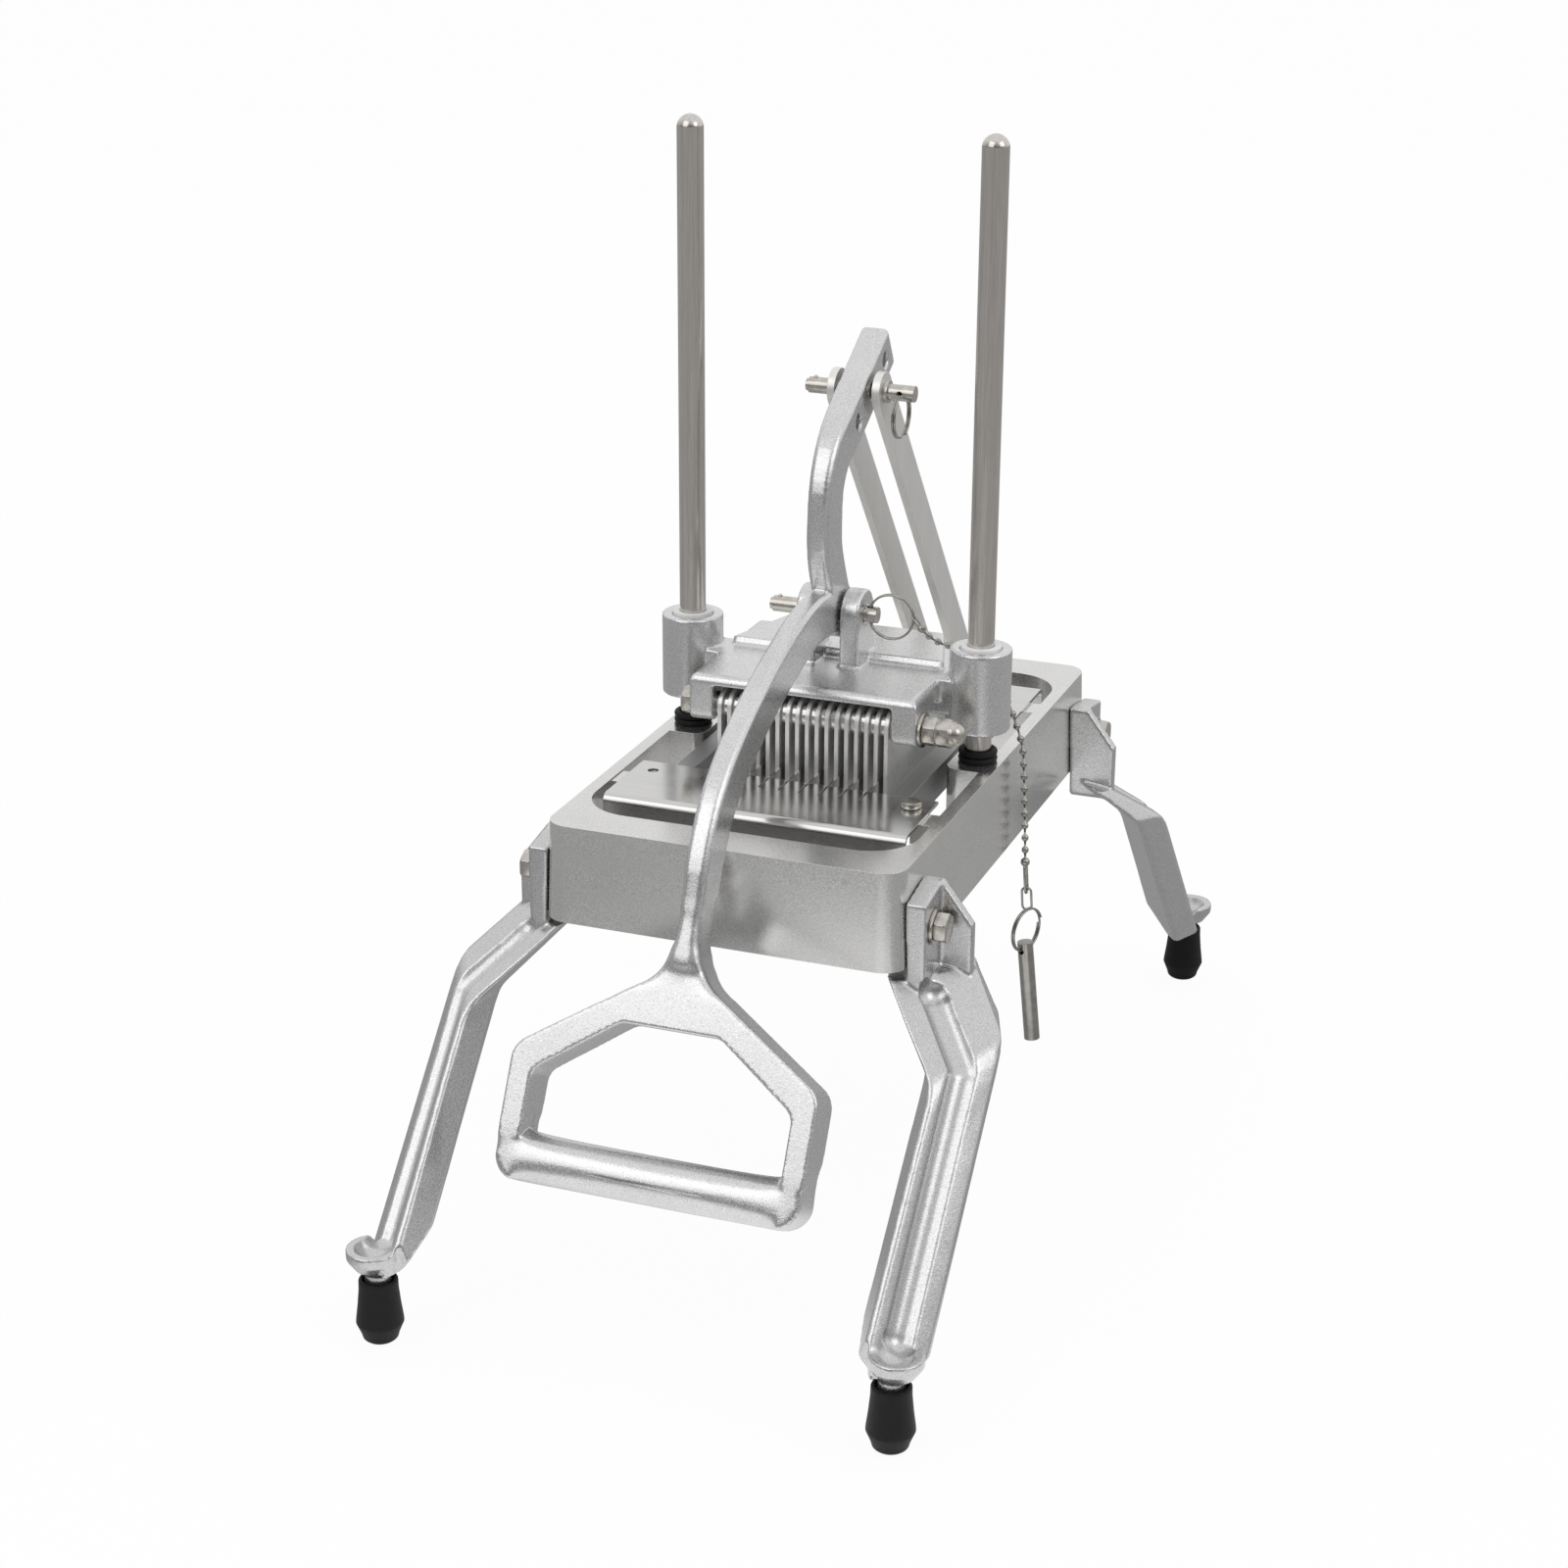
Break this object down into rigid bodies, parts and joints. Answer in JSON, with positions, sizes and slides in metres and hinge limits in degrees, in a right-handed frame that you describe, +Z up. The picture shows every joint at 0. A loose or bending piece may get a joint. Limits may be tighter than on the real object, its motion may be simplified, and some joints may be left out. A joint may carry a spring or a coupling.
{
  "type": "vertical vegetable slicer",
  "caption": "Lever-operated vertical vegetable slicer: a plate pusher head on guide rods, driven by a loop-grip lever, over a drop-in blade cartridge in a cast frame on splayed legs.",
  "frame": {"origin": "on the table plane under the middle between the two guide rods, which is the middle of the four feet", "axes": "+Z up along the guide rods; +Y from the grip to the rear pivot; +X to the user's right when facing the grip"},
  "size_m": [0.2726, 0.5414, 0.5147],
  "materials": {
    "cast_frame": "satin grey cast, finely speckled",
    "cast_bright": "bright tumbled cast",
    "link_metal": "pale satin bar",
    "rail_metal": "plain milled bar",
    "rod_steel": "ground rod, lengthwise streaks",
    "plate_steel": "polished sheet",
    "nickel": "nickel plate",
    "white_nylon": "plain nylon",
    "black_rubber": "matt moulded"
  },
  "bodies": {
    "frame": {"base_frame": "cast_frame", "leg_front_right": "cast_bright", "leg_front_left": "cast_bright", "leg_rear_right": "cast_bright", "leg_rear_left": "cast_bright", "leg_bolts": "nickel", "leg_washers": "nickel", "foot_front_right": "black_rubber", "foot_front_left": "black_rubber", "foot_rear_right": "black_rubber", "foot_rear_left": "black_rubber", "guide_rod_right": "rod_steel", "guide_rod_left": "rod_steel", "rod_bumpers": "black_rubber", "rear_pivot_pin": "nickel", "rear_pivot_clips": "nickel", "cartridge_front": "plate_steel", "cartridge_rear": "plate_steel", "rail_right": "rail_metal", "rail_left": "rail_metal", "blades": "plate_steel", "locating_buttons": "nickel"},
    "head": {"pusher_head": "cast_bright", "bushing_right": "white_nylon", "bushing_left": "white_nylon", "cross_bolt_front": "nickel", "cross_bolt_rear": "nickel", "cross_washers": "nickel", "cross_nuts": "nickel", "acorn_nuts": "nickel", "pusher_plates": "plate_steel", "plate_spacers": "plate_steel", "lever_pin": "nickel", "lever_pin_ring": "nickel", "bead_chain": "nickel", "chain_hook": "nickel", "chain_clip": "nickel", "spare_pin_ring": "nickel", "spare_pin": "nickel"},
    "lever": {"lever_handle": "cast_bright"},
    "links": {"link_right": "link_metal", "link_left": "link_metal", "top_pin": "nickel", "top_pin_ring": "nickel"}
  },
  "joints": [
    {"name": "head_slide", "type": "slide", "parent": "frame", "child": "head", "axis": [0, 0, 1], "range_m": [0, 0.12]},
    {"name": "lever_pivot", "type": "hinge", "parent": "head", "child": "lever", "pos_m": [0, 0, 0.283], "axis": [-1, 0, 0], "range_deg": [0, 62]},
    {"name": "link_pivot", "type": "hinge", "parent": "frame", "child": "links", "pos_m": [0, 0.176, 0.203], "axis": [-1, 0, 0], "range_deg": [0, 21]}
  ],
  "couplings": [
    {"joint": "lever_pivot", "follows": "head_slide", "rad_per_m": 8.967},
    {"joint": "link_pivot", "follows": "head_slide", "rad_per_m": 2.996}
  ]
}
